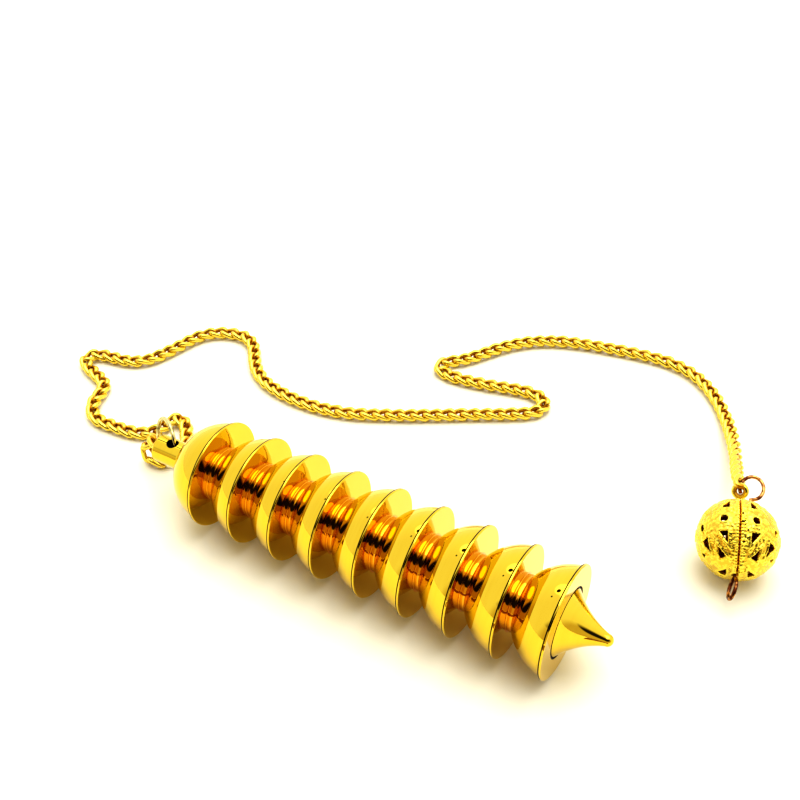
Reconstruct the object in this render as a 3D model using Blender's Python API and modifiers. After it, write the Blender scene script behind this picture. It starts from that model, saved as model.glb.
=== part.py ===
"""Dowsing pendulum lying on a table: a turned body of nine domed discs, a jump ring, a curb chain and a pierced ball.

Metres, +Z up. The pendulum's axis runs along X with its point toward +X. The model is built around the point of
the table under the middle disc, and is then moved so that its origin is the bottom centre of its bounding box.
"""

import bpy
import bmesh
from math import atan2, cos, hypot, pi, radians, sin, sqrt
from mathutils import Matrix, Vector

# Turned body
DISC_DIAMETER = 0.0150
DISC_COUNT = 9
DISC_PITCH = 0.00638
RIM_WIDTH = 0.00040
RIM_BEVEL = 0.00008
DOME_EDGE_STEP = 0.00030
DOME_CENTRE_AHEAD = 0.0010
NECK_DIAMETER = 0.0075
KNOB_DIAMETER = 0.0039
KNOB_REACH = 0.0111
KNOB_EDGE = 0.00030
KNOB_FILLET = 0.00060
KNOB_FILLET_RADIUS = 0.00066
KNOB_HOLE_DIAMETER = 0.0017
KNOB_HOLE_FROM_END = 0.0026
TIP_LENGTH = 0.0060
TIP_FOOT_DIAMETER = 0.0088
TIP_END_DIAMETER = 0.0016
TIP_FLANK_RADIUS = 0.0110
FOOT_GROOVE_WIDTH = 0.00025
FOOT_GROOVE_DEPTH = 0.00015

# Jump ring through the knob's cross hole
RING_WIRE = 0.00060
RING_MEAN_DIAMETER = 0.0068
RING_SLIT = 0.00015
RING_HEADING = radians(134.0)
RING_DROOP = radians(2.0)
RING_HOLD_ANGLE = radians(40.0)

# Curb chain
CHAIN_WIDTH = 0.0019
END_LINK_WIRE = 0.00055
END_LINK_MEAN_DIAMETER = 0.0019

# Pierced ball and its pin
BALL_DIAMETER = 0.0107
BALL_WALL = 0.00055
SEAM_RIDGE_DIAMETER = 0.00060
BALL_PLACE = (0.03886, 0.02539)
SHELL_HEADING = radians(17.5)
SHELL_LIFT = radians(6.1)
PIN_HEADING = radians(100.0)
PIN_RISE = radians(12.0)
PIN_ASIDE = 0.00060
PIN_WIRE = 0.00045
PIN_HOLE_CLEARANCE = 0.00030
EYE_MEAN_DIAMETER = 0.0024
LOWER_EYE_CLEARANCE = 0.00055
LOWER_EYE_START = radians(-60.0)
LOWER_EYE_END = radians(240.0)
LOWER_EYE_TWIST = radians(26.0)
UPPER_EYE_CLEARANCE = 0.00245
UPPER_EYE_FOOT = 0.00050
UPPER_EYE_START = radians(-135.0)
UPPER_EYE_END = radians(-375.0)
UPPER_EYE_OPENING = 0.40
LINK_ON_EYE_TURN = radians(-360.0)

# Openings of each half shell, which come three times round it, in degrees from its crown and degrees round it
REPEATS_ROUND_SHELL = 3
FIRST_REPEAT = 102.0
CORNERED_OPENINGS = [
    [(62.0, 21.0), (74.2, 20.0), (74.4, 38.0)],
    [(64.0, -24.0), (75.5, -21.5), (75.5, -40.0)],
    [(60.2, 44.0), (73.7, 57.5), (65.0, 64.6)],
    [(32.7, 46.0), (43.7, 32.0), (51.2, 59.3)],
    [(33.0, -46.0), (39.0, -35.0), (42.0, -47.0)],
]
# Rounded ones: middle, sides, and half widths in degrees away from the crown and round it
CROWN_OPENING = (0.0, 0.0, 10, 6.0, 6.0)
ROUNDED_OPENINGS = [
    (67.7, 0.0, 8, 5.7, 5.7),
    (31.0, 8.0, 8, 3.9, 5.7),
]

# The chain's route over the table, from the jump ring to the ball, chosen by eye from how it lies
CHAIN_ROUTE = [
    (-0.0412, 0.0035, 0.0040), (-0.0423, 0.0031, 0.0030), (-0.0424, 0.0027, 0.0018), (-0.0414, 0.0024, 0.0011),
    (-0.0401, 0.0026, 0.00098), (-0.0390, 0.0034, 0.00098), (-0.0384, 0.0048, 0.00098), (-0.0384, 0.0064, 0.00098),
    (-0.0391, 0.0081, 0.00098), (-0.0404, 0.0097, 0.00098), (-0.0420, 0.0114, 0.00098), (-0.0429, 0.0119, 0.00098),
    (-0.0438, 0.0116, 0.00098), (-0.0443, 0.0107, 0.00098), (-0.0443, 0.0092, 0.00098), (-0.0446, 0.0079, 0.00098),
    (-0.0454, 0.0068, 0.00098), (-0.0466, 0.0060, 0.00098), (-0.0484, 0.0056, 0.00098), (-0.0510, 0.0054, 0.00098),
    (-0.0534, 0.0052, 0.00098), (-0.0551, 0.0056, 0.00098), (-0.0565, 0.0068, 0.00098), (-0.0575, 0.0083, 0.00098),
    (-0.0579, 0.0099, 0.00098), (-0.0581, 0.0113, 0.00098), (-0.0590, 0.0125, 0.00098), (-0.0606, 0.0132, 0.00098),
    (-0.0627, 0.0139, 0.00098), (-0.0647, 0.0147, 0.00098), (-0.0659, 0.0160, 0.00098), (-0.0655, 0.0174, 0.00098),
    (-0.0638, 0.0181, 0.00098), (-0.0613, 0.0185, 0.00098), (-0.0589, 0.0191, 0.00098), (-0.0571, 0.0205, 0.00098),
    (-0.0558, 0.0230, 0.00098), (-0.0548, 0.0263, 0.00098), (-0.0537, 0.0297, 0.00098), (-0.0518, 0.0321, 0.00098),
    (-0.0490, 0.0334, 0.00098), (-0.0464, 0.0336, 0.00098), (-0.0442, 0.0323, 0.00098), (-0.0423, 0.0299, 0.00098),
    (-0.0402, 0.0275, 0.00098), (-0.0373, 0.0257, 0.00098), (-0.0336, 0.0247, 0.00098), (-0.0295, 0.0244, 0.00098),
    (-0.0254, 0.0248, 0.00098), (-0.0215, 0.0259, 0.00098), (-0.0173, 0.0279, 0.00098), (-0.0126, 0.0305, 0.00098),
    (-0.0080, 0.0333, 0.00098), (-0.0034, 0.0361, 0.00098), (0.0006, 0.0385, 0.00098), (0.0030, 0.0403, 0.00098),
    (0.0038, 0.0420, 0.00098), (0.0031, 0.0437, 0.00098), (0.0012, 0.0443, 0.00098), (-0.0015, 0.0440, 0.00098),
    (-0.0051, 0.0430, 0.00098), (-0.0090, 0.0421, 0.00098), (-0.0123, 0.0417, 0.00098), (-0.0145, 0.0421, 0.00098),
    (-0.0154, 0.0433, 0.00098), (-0.0146, 0.0446, 0.00098), (-0.0128, 0.0461, 0.00098), (-0.0110, 0.0486, 0.00098),
    (-0.0091, 0.0517, 0.00098), (-0.0070, 0.0545, 0.00098), (-0.0039, 0.0572, 0.00098), (0.0000, 0.0592, 0.00098),
    (0.0044, 0.0606, 0.00098), (0.0089, 0.0616, 0.00098), (0.0134, 0.0624, 0.00098), (0.0175, 0.0625, 0.00098),
    (0.0212, 0.0615, 0.00098), (0.0244, 0.0593, 0.00098), (0.0271, 0.0564, 0.00098), (0.0294, 0.0529, 0.00113),
    (0.0314, 0.0487, 0.00188), (0.0331, 0.0440, 0.00315), (0.0345, 0.0392, 0.00495), (0.0354, 0.0357, 0.00660),
]
ROUTE_FINENESS = 12
LONGEST_STRAIGHT = 0.0045
LARGEST_TURN = radians(24.0)

# How finely the round shapes are cut into flats
TURNING_SIDES = 36
FIRST_DOME_STEPS = 7
DOME_STEPS = 5
FLANK_STEPS = 6
TIP_END_STEPS = 4
EDGE_STEPS = 3
DRILL_SIDES = 16
SHELL_SEGMENTS = 32
SHELL_RINGS = 16
RIDGE_SIDES = 8
END_LINK_SEGMENTS = 16
END_LINK_SIDES = 6
PIN_HOLE_SIDES = 10
RING_STATIONS = 30
EYE_STATIONS = 18
WIRE_RESOLUTION = 2
MERGE_DISTANCE = 0.00001

DISC_RADIUS = DISC_DIAMETER / 2
DOME_EDGE_RADIUS = DISC_RADIUS - DOME_EDGE_STEP
DOME_RADIUS = hypot(DOME_EDGE_RADIUS, DOME_CENTRE_AHEAD)
AXIS_HEIGHT = DISC_RADIUS * cos(pi / TURNING_SIDES)
LAST_FACE = DISC_PITCH * (DISC_COUNT - 1) / 2
FIRST_FACE = -LAST_FACE
KNOB_END = FIRST_FACE - KNOB_REACH
HOLE_PLACE = Vector((KNOB_END + KNOB_HOLE_FROM_END, 0, AXIS_HEIGHT))
DRILL_LENGTH = KNOB_DIAMETER * 1.5
BALL_RADIUS = BALL_DIAMETER / 2
SEAM_RIDGE_RISE = SEAM_RIDGE_DIAMETER / 4
BALL_CENTRE = Vector((*BALL_PLACE, BALL_RADIUS + SEAM_RIDGE_RISE))
PUNCH_MARGIN = BALL_WALL * 2
EYE_RADIUS = EYE_MEAN_DIAMETER / 2
LOWER_EYE_REACH = BALL_RADIUS + LOWER_EYE_CLEARANCE + EYE_RADIUS
UPPER_EYE_REACH = BALL_RADIUS + UPPER_EYE_CLEARANCE + EYE_RADIUS


def clear_scene():
    for old in list(bpy.data.objects):
        bpy.data.objects.remove(old, do_unlink=True)


def new_collection(name):
    collection = bpy.data.collections.new(name)
    bpy.context.scene.collection.children.link(collection)
    return collection


def metal(name, color, roughness):
    material = bpy.data.materials.new(name)
    material.use_nodes = True
    surface = material.node_tree.nodes["Principled BSDF"]
    surface.inputs["Base Color"].default_value = (*color, 1.0)
    surface.inputs["Metallic"].default_value = 1.0
    surface.inputs["Roughness"].default_value = roughness
    return material


def add_object(name, data, collection, material=None):
    piece = bpy.data.objects.new(name, data)
    collection.objects.link(piece)
    if material:
        data.materials.clear()
        data.materials.append(material)
    return piece


def as_cutter(cutter):
    cutter.hide_render = True
    cutter.display_type = "WIRE"
    return cutter


def take_new_primitive(name, collection):
    """The primitive just added, under its own name and in one collection alone."""
    primitive = bpy.context.object
    primitive.name = name
    primitive.data.name = name
    for holder in list(primitive.users_collection):
        holder.objects.unlink(primitive)
    collection.objects.link(primitive)
    return primitive


def add_boolean(piece, tool, operation):
    modifier = piece.modifiers.new(operation.title() + " " + tool.name, "BOOLEAN")
    modifier.operation = operation
    modifier.solver = "EXACT"
    modifier.object = tool


def arc(centre, radius, start, end, steps):
    """Points (x, r) on a circle from one angle to another, both ends included."""
    turns = [start + (end - start) * i / steps for i in range(steps + 1)]
    return [(centre[0] + radius * cos(turn), centre[1] + radius * sin(turn)) for turn in turns]


def shallow_arc(start, end, radius, steps):
    """Points of the hollow circular arc of a given radius between two profile points."""
    (x0, r0), (x1, r1) = start, end
    half = hypot(x1 - x0, r1 - r0) / 2
    side = sqrt(max(radius**2 - half**2, 0.0))
    along = ((x1 - x0) / (2 * half), (r1 - r0) / (2 * half))
    centre = Vector(((x0 + x1) / 2 - along[1] * side, (r0 + r1) / 2 + along[0] * side))
    first = Vector(start) - centre
    last = Vector(end) - centre
    sweep = last.angle_signed(first)
    points = []
    for i in range(steps + 1):
        turned = Matrix.Rotation(sweep * i / steps, 2) @ first
        points.append(tuple(centre + turned))
    return points


def dome_turn(radius):
    """The angle on the dome's circle at which it has a given distance from the axis."""
    return atan2(radius, -sqrt(DOME_RADIUS**2 - radius**2))


def dome_profile(face, inner_radius, steps):
    """The domed side of one disc, from an inner radius out to the rim's back edge."""
    centre = (face - RIM_WIDTH + DOME_CENTRE_AHEAD, 0)
    return arc(centre, DOME_RADIUS, dome_turn(inner_radius), dome_turn(DOME_EDGE_RADIUS), steps)


def rim_profile(face):
    return [
        (face - RIM_WIDTH, DISC_RADIUS - RIM_BEVEL),
        (face - RIM_WIDTH + RIM_BEVEL, DISC_RADIUS),
        (face - RIM_BEVEL, DISC_RADIUS),
        (face, DISC_RADIUS - RIM_BEVEL),
    ]


def knob_profile():
    """The knob from the middle of its end face to the fillet where it meets the first dome."""
    radius = KNOB_DIAMETER / 2
    end_round = arc((KNOB_END + KNOB_EDGE, radius - KNOB_EDGE), KNOB_EDGE, pi, pi / 2, EDGE_STEPS)
    crown = dome_profile(FIRST_FACE, radius + KNOB_FILLET, FIRST_DOME_STEPS)[0]
    fillet = shallow_arc((crown[0] - KNOB_FILLET, radius), crown, KNOB_FILLET_RADIUS, EDGE_STEPS)[:-1]
    return [(KNOB_END, 0.0)] + end_round + fillet


def tip_profile():
    """The hollow-flanked cone on the last face, with the fine groove round its foot, out to its blunt end."""
    foot = TIP_FOOT_DIAMETER / 2
    end_radius = TIP_END_DIAMETER / 2
    groove_outer = foot + FOOT_GROOVE_WIDTH
    groove = [
        (LAST_FACE, groove_outer),
        (LAST_FACE - FOOT_GROOVE_DEPTH, groove_outer),
        (LAST_FACE - FOOT_GROOVE_DEPTH, foot),
    ]
    end_start = LAST_FACE + TIP_LENGTH - end_radius
    flank = shallow_arc((LAST_FACE, foot), (end_start, end_radius), TIP_FLANK_RADIUS, FLANK_STEPS)
    end_round = arc((end_start, 0), end_radius, pi / 2, 0, TIP_END_STEPS)[1:-1]
    return groove + flank + end_round + [(LAST_FACE + TIP_LENGTH, 0.0)]


def body_profile():
    neck = NECK_DIAMETER / 2
    profile = knob_profile()
    for i in range(DISC_COUNT):
        face = FIRST_FACE + i * DISC_PITCH
        if i == 0:
            profile += dome_profile(face, KNOB_DIAMETER / 2 + KNOB_FILLET, FIRST_DOME_STEPS)
        else:
            profile += [(face - DISC_PITCH, neck)] + dome_profile(face, neck, DOME_STEPS)
        profile += rim_profile(face)
    return profile + tip_profile()


def turned_mesh(name, profile):
    """The profile as a line of edges, half a step off the bottom so that a flat rests on the table."""
    half_step = pi / TURNING_SIDES
    points = [(x, r * sin(half_step), -r * cos(half_step)) for x, r in reversed(profile)]
    mesh = bpy.data.meshes.new(name)
    mesh.from_pydata(points, [(i, i + 1) for i in range(len(points) - 1)], [])
    return mesh


def make_body():
    body = add_object("pendulum_body", turned_mesh("pendulum_body", body_profile()), parts, polished_gold)
    body.location.z = AXIS_HEIGHT
    turning = body.modifiers.new("Turning", "SCREW")
    turning.axis = "X"
    turning.angle = 2 * pi
    turning.steps = TURNING_SIDES
    turning.render_steps = TURNING_SIDES
    turning.use_merge_vertices = True
    turning.merge_threshold = MERGE_DISTANCE
    drill_mesh = bpy.data.meshes.new("knob_drill")
    drill = bmesh.new()
    bmesh.ops.create_cone(
        drill, cap_ends=True, segments=DRILL_SIDES, radius1=KNOB_HOLE_DIAMETER / 2, radius2=KNOB_HOLE_DIAMETER / 2,
        depth=DRILL_LENGTH, matrix=Matrix.Translation(HOLE_PLACE),
    )
    drill.to_mesh(drill_mesh)
    drill.free()
    add_boolean(body, as_cutter(add_object("knob_drill", drill_mesh, cutters)), "DIFFERENCE")


def wire_curve(name, points, diameter):
    """A round wire through a list of points, with filled ends."""
    curve = bpy.data.curves.new(name, "CURVE")
    curve.dimensions = "3D"
    curve.bevel_depth = diameter / 2
    curve.bevel_resolution = WIRE_RESOLUTION
    curve.use_fill_caps = True
    spline = curve.splines.new("POLY")
    spline.points.add(len(points) - 1)
    for station, point in zip(spline.points, points):
        station.co = (*point, 1.0)
    return curve


def as_mesh_object(curve_object, material):
    """The curve's tube as a mesh object of the same name, its caps welded."""
    name = curve_object.name
    place = curve_object.matrix_world.copy()
    depsgraph = bpy.context.evaluated_depsgraph_get()
    mesh = bpy.data.meshes.new_from_object(curve_object.evaluated_get(depsgraph))
    bpy.data.objects.remove(curve_object, do_unlink=True)
    weld = bmesh.new()
    weld.from_mesh(mesh)
    bmesh.ops.remove_doubles(weld, verts=weld.verts, dist=MERGE_DISTANCE)
    weld.to_mesh(mesh)
    weld.free()
    piece = add_object(name, mesh, parts, material)
    piece.matrix_world = place
    return piece


def make_cap_ring():
    """The jump ring, threaded upright through the knob's hole, with its slit at the far side."""
    radius = RING_MEAN_DIAMETER / 2
    slit_turn = RING_SLIT / radius
    points = []
    for i in range(RING_STATIONS + 1):
        turn = slit_turn / 2 + (2 * pi - slit_turn) * i / RING_STATIONS
        points.append(ring_centre + radius * (cos(turn) * ring_outward + sin(turn) * ring_upright))
    add_object("cap_ring", wire_curve("cap_ring", points, RING_WIRE), parts, brassy_wire)


def smooth_route(route):
    """Fine points of a centripetal Catmull-Rom curve through the route's own points."""
    ends = [2 * route[0] - route[1]] + route + [2 * route[-1] - route[-2]]
    fine = []
    for i in range(1, len(ends) - 2):
        p = ends[i - 1:i + 3]
        knots = [0.0]
        for a, b in zip(p, p[1:]):
            knots.append(knots[-1] + sqrt((b - a).length))
        for step in range(ROUTE_FINENESS):
            t = knots[1] + (knots[2] - knots[1]) * step / ROUTE_FINENESS
            a = [p[k].lerp(p[k + 1], (t - knots[k]) / (knots[k + 1] - knots[k])) for k in range(3)]
            b = [a[k].lerp(a[k + 1], (t - knots[k]) / (knots[k + 2] - knots[k])) for k in range(2)]
            fine.append(b[0].lerp(b[1], (t - knots[1]) / (knots[2] - knots[1])))
    return fine + [route[-1]]


def route_stations(fine):
    """The stations kept from a fine curve: closer where it turns, and never far apart."""
    kept = [fine[0]]
    heading = fine[1] - fine[0]
    for i in range(1, len(fine) - 1):
        ahead = fine[i + 1] - fine[i]
        if ahead.angle(heading) > LARGEST_TURN or (fine[i] - kept[-1]).length > LONGEST_STRAIGHT:
            kept.append(fine[i])
            heading = ahead
    return kept + [fine[-1]]


def end_link(name, held_at, held_along, toward):
    """A round link about a wire at held_at, opening along that wire and lying in the chain's direction."""
    normal = (held_along - held_along.project(toward)).normalized()
    across = normal.cross(toward)
    turn = Matrix((toward, across, normal)).transposed().to_4x4()
    bpy.ops.mesh.primitive_torus_add(
        major_segments=END_LINK_SEGMENTS, minor_segments=END_LINK_SIDES,
        major_radius=END_LINK_MEAN_DIAMETER / 2, minor_radius=END_LINK_WIRE / 2,
    )
    link = as_cutter(take_new_primitive(name, cutters))
    link.data.transform(Matrix.Translation(held_at) @ turn)
    return link


def make_chain():
    """The chain as a round cord of its width, with a real link at each end."""
    route = [Vector(point) for point in CHAIN_ROUTE]
    link_reach = END_LINK_MEAN_DIAMETER / 2
    from_ring = (route[0] - ring_hold).normalized()
    from_pin = (route[-1] - pin_hold).normalized()
    route = [ring_hold + from_ring * link_reach] + route + [pin_hold + from_pin * link_reach]
    stations = route_stations(smooth_route(route))
    cord = add_object("chain", wire_curve("chain", stations, CHAIN_WIDTH), parts)
    chain = as_mesh_object(cord, chain_gold)
    add_boolean(chain, end_link("link_on_ring", ring_hold, ring_hold_along, from_ring), "UNION")
    add_boolean(chain, end_link("link_on_pin", pin_hold, pin_axis, from_pin), "UNION")


def shell_direction(angle, turn):
    """The direction from the ball's middle at given degrees from the shell's crown and round it."""
    angle, turn = radians(angle), radians(turn)
    return Vector((cos(angle), sin(angle) * cos(turn), sin(angle) * sin(turn)))


def punch(bm, corners):
    """A straight-sided punch through the shell, tapering toward the ball's middle, with its corners' directions."""
    inner = [bm.verts.new(corner * (BALL_RADIUS - PUNCH_MARGIN)) for corner in corners]
    outer = [bm.verts.new(corner * (BALL_RADIUS + PUNCH_MARGIN)) for corner in corners]
    bm.faces.new(inner)
    bm.faces.new(outer[::-1])
    for i in range(len(corners)):
        bm.faces.new((inner[i - 1], inner[i], outer[i], outer[i - 1]))


def rounded_corners(angle, turn, sides, half_away, half_round):
    """Corners of an oval opening of a shell about a middle point."""
    middle = shell_direction(angle, turn)
    away = shell_direction(angle + 90, turn)
    side = middle.cross(away)
    corners = []
    for i in range(sides):
        step = 2 * pi * i / sides
        reach = away * cos(step) * radians(half_away) + side * sin(step) * radians(half_round)
        corners.append((middle + reach).normalized())
    return corners


def shell_openings():
    """All the punches of both half shells, about the ball's own centre.

    The ball's own X runs from one shell's crown to the other's. The second shell mirrors the first.
    """
    bm = bmesh.new()
    shell = [rounded_corners(*CROWN_OPENING)]
    for i in range(REPEATS_ROUND_SHELL):
        start = FIRST_REPEAT + 360 * i / REPEATS_ROUND_SHELL
        for opening in CORNERED_OPENINGS:
            shell.append([shell_direction(angle, start + turn) for angle, turn in opening])
        for angle, turn, sides, half_away, half_round in ROUNDED_OPENINGS:
            shell.append(rounded_corners(angle, start + turn, sides, half_away, half_round))
    for corners in shell:
        punch(bm, corners)
        punch(bm, [Vector((-corner.x, corner.y, corner.z)) for corner in corners])
    bmesh.ops.recalc_face_normals(bm, faces=bm.faces)
    mesh = bpy.data.meshes.new("shell_punches")
    bm.to_mesh(mesh)
    bm.free()
    return mesh


def pin_drill():
    """A straight drill along the pin, through both sides of the ball."""
    bm = bmesh.new()
    radius = PIN_WIRE / 2 + PIN_HOLE_CLEARANCE
    turn = Matrix((upper_eye_side, pin_axis.cross(upper_eye_side), pin_axis)).transposed().to_4x4()
    bmesh.ops.create_cone(
        bm, cap_ends=True, segments=PIN_HOLE_SIDES, radius1=radius, radius2=radius,
        depth=(BALL_RADIUS + PUNCH_MARGIN) * 2, matrix=Matrix.Translation(pin_middle) @ turn,
    )
    mesh = bpy.data.meshes.new("pin_drill")
    bm.to_mesh(mesh)
    bm.free()
    return mesh


def make_ball():
    """The hollow ball: a thin shell with its seam ridge raised and its openings punched through.

    The sphere's poles are the crowns of the two half shells, and its equator is their seam.
    """
    bpy.ops.mesh.primitive_uv_sphere_add(segments=SHELL_SEGMENTS, ring_count=SHELL_RINGS, radius=BALL_RADIUS)
    ball = take_new_primitive("filigree_ball", parts)
    ball.data.materials.append(ball_gold)
    wall = ball.modifiers.new("Wall", "SOLIDIFY")
    wall.thickness = BALL_WALL
    wall.offset = -1.0
    bpy.ops.mesh.primitive_torus_add(
        major_segments=SHELL_SEGMENTS, minor_segments=RIDGE_SIDES,
        major_radius=BALL_RADIUS + SEAM_RIDGE_RISE - SEAM_RIDGE_DIAMETER / 2,
        minor_radius=SEAM_RIDGE_DIAMETER / 2,
    )
    ridge = as_cutter(take_new_primitive("seam_ridge", cutters))
    punches = as_cutter(add_object("shell_punches", shell_openings(), cutters))
    drill = as_cutter(add_object("pin_drill", pin_drill(), cutters))
    add_boolean(ball, ridge, "UNION")
    add_boolean(ball, punches, "DIFFERENCE")
    add_boolean(ball, drill, "DIFFERENCE")
    weld = ball.modifiers.new("Weld", "WELD")
    weld.merge_threshold = MERGE_DISTANCE
    shell_turn = Matrix.Rotation(SHELL_HEADING, 4, "Z") @ Matrix.Rotation(-SHELL_LIFT, 4, "Y")
    place = Matrix.Translation(BALL_CENTRE) @ shell_turn
    poles_to_crowns = Matrix.Rotation(pi / 2, 4, "Y") @ Matrix.Rotation(pi / SHELL_SEGMENTS, 4, "Z")
    ball.matrix_world = place @ poles_to_crowns
    ridge.matrix_world = place @ poles_to_crowns
    punches.matrix_world = place


def eye_point(turn, opening=0.0):
    """A point (along, side) of a wire eye about its own middle, at a turn, with the eye opened there by a share."""
    radius = EYE_RADIUS * (1 + opening)
    return radius * sin(turn), -radius * cos(turn)


def upper_eye_point(turn):
    """A point of the upper eye in place: the eye opens more and more toward its free end."""
    progress = (turn - UPPER_EYE_START) / (UPPER_EYE_END - UPPER_EYE_START)
    along, side = eye_point(turn, UPPER_EYE_OPENING * progress**3)
    return pin_middle + pin_axis * (UPPER_EYE_REACH + along) + upper_eye_side * side


def make_pin():
    """The wire through the ball: a closed eye near the table, a straight shank and an open eye for the chain."""
    points = []
    for i in range(EYE_STATIONS + 1):
        along, side = eye_point(LOWER_EYE_END + (LOWER_EYE_START - LOWER_EYE_END) * i / EYE_STATIONS)
        points.append(pin_middle - pin_axis * (LOWER_EYE_REACH + along) + lower_eye_side * side)
    points.append(pin_middle - pin_axis * (BALL_RADIUS + LOWER_EYE_CLEARANCE / 2))
    points.append(pin_middle + pin_axis * (UPPER_EYE_REACH - EYE_RADIUS - UPPER_EYE_FOOT))
    for i in range(EYE_STATIONS + 1):
        points.append(upper_eye_point(UPPER_EYE_START + (UPPER_EYE_END - UPPER_EYE_START) * i / EYE_STATIONS))
    add_object("ball_pin", wire_curve("ball_pin", points, PIN_WIRE), parts, copper_wire)


def stand_on_origin():
    """Parent everything to one empty and move it so that the origin is the bottom centre of the box."""
    depsgraph = bpy.context.evaluated_depsgraph_get()
    corners = []
    for piece in parts.objects:
        mesh = piece.evaluated_get(depsgraph).to_mesh()
        corners += [piece.matrix_world @ vertex.co for vertex in mesh.vertices]
    low = Vector(min(point[k] for point in corners) for k in range(3))
    high = Vector(max(point[k] for point in corners) for k in range(3))
    stand = bpy.data.objects.new("pendulum_origin", None)
    parts.objects.link(stand)
    for piece in list(parts.objects) + list(cutters.objects):
        if piece is not stand:
            piece.parent = stand
    stand.location = (-(low.x + high.x) / 2, -(low.y + high.y) / 2, -low.z)


clear_scene()
parts = new_collection("Dowsing pendulum")
cutters = new_collection("Cutters")
polished_gold = metal("polished_gold_plate", (0.95, 0.66, 0.16), 0.05)
brassy_wire = metal("brassy_wire", (0.78, 0.66, 0.33), 0.16)
chain_gold = metal("chain_gold_plate", (0.94, 0.66, 0.20), 0.15)
ball_gold = metal("filigree_gold_plate", (0.94, 0.68, 0.20), 0.22)
copper_wire = metal("copper_wire", (0.55, 0.30, 0.14), 0.22)

ring_level = Vector((cos(RING_HEADING), sin(RING_HEADING), 0))
ring_outward = ring_level * cos(RING_DROOP) - Vector((0, 0, sin(RING_DROOP)))
ring_upright = Vector((0, 0, cos(RING_DROOP))) + ring_level * sin(RING_DROOP)
ring_radius = RING_MEAN_DIAMETER / 2
ring_bow_in_hole = ring_radius - sqrt(ring_radius**2 - (KNOB_DIAMETER / 2)**2)
ring_centre = HOLE_PLACE + ring_outward * (ring_radius - ring_bow_in_hole / 2)
ring_hold = ring_centre + ring_radius * (
    cos(RING_HOLD_ANGLE) * ring_outward - sin(RING_HOLD_ANGLE) * ring_upright
)
ring_hold_along = -sin(RING_HOLD_ANGLE) * ring_outward - cos(RING_HOLD_ANGLE) * ring_upright

pin_level = Vector((cos(PIN_HEADING), sin(PIN_HEADING), 0))
pin_axis = pin_level * cos(PIN_RISE) + Vector((0, 0, sin(PIN_RISE)))
upper_eye_side = Vector((sin(PIN_HEADING), -cos(PIN_HEADING), 0))
upright_side = upper_eye_side.cross(pin_axis)
lower_eye_side = upright_side * cos(LOWER_EYE_TWIST) + upper_eye_side * sin(LOWER_EYE_TWIST)
pin_middle = BALL_CENTRE + upper_eye_side * PIN_ASIDE
pin_hold = upper_eye_point(LINK_ON_EYE_TURN)

make_body()
make_cap_ring()
make_chain()
make_ball()
make_pin()
stand_on_origin()
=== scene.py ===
"""Looks of a dowsing pendulum lying on a table: turned body, jump ring, curb chain, pierced ball and its pin.

Metres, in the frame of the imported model. Places worked out here are counted from the point of the table under
the middle disc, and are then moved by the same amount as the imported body.
"""

import random
from math import atan2, cos, hypot, pi, radians, sin, sqrt

import bmesh
import bpy
import numpy as np
from mathutils import Matrix, Vector, noise


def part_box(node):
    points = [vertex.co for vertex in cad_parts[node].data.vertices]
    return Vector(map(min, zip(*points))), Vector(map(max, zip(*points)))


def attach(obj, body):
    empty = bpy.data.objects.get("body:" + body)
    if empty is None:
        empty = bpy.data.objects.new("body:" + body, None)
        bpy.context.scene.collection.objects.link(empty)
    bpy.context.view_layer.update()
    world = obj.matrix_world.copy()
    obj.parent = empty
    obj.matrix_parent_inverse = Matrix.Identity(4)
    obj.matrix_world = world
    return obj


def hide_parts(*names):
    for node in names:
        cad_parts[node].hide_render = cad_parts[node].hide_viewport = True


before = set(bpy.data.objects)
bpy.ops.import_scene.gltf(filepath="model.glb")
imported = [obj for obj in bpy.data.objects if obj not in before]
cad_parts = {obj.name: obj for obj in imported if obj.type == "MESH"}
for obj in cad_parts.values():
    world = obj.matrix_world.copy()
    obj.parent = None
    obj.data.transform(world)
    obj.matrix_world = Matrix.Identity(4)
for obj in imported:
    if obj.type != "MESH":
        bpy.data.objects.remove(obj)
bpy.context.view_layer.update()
body_low, body_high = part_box("pendulum_body")

# Turned body
DISC_RADIUS = (body_high.z - body_low.z) / 2
DISC_COUNT = 9
DISC_PITCH = 0.00638
RIM_WIDTH = 0.00040
RIM_BEVEL = 0.00009
DOME_EDGE_STEP = 0.00028
DOME_CENTRE_AHEAD = 0.0010
NECK_RADIUS = 0.00375
NECK_FILLET = 0.00012
NECK_BEADS = 1
NECK_BEAD_RISE = 0.00004
NECK_BEAD_STEPS = 9
KNOB_RADIUS = 0.00195
KNOB_REACH = 0.0111
KNOB_EDGE = 0.00030
KNOB_FILLET = 0.00060
KNOB_FILLET_RADIUS = 0.00066
KNOB_HOLE_RADIUS = 0.00085
KNOB_HOLE_FROM_END = 0.0026
TIP_LENGTH = 0.0060
TIP_FOOT_RADIUS = 0.0044
TIP_END_RADIUS = 0.0008
TIP_FLANK_RADIUS = 0.0110
FOOT_GROOVE_WIDTH = 0.00028
FOOT_GROOVE_DEPTH = 0.00015
FACE_HOLD = 0.00003
TURNING_SIDES = 160
DOME_STEPS = 30
BEVEL_STEPS = 3
FILLET_STEPS = 4
KNOB_STEPS = 8
FLANK_STEPS = 40
TIP_END_STEPS = 12
DRILL_SIDES = 64
MERGE_DISTANCE = 0.0000002
SHARP_ANGLE = radians(40.0)

# Painted black shade in the body's corners: how far it reaches, and over how much more it fades
RIM_SHADE_REACH = 0.00015
RIM_SHADE_FADE = 0.00005
HOLE_SHADE_REACH = 0.00001
HOLE_SHADE_FADE = 0.00002
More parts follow.
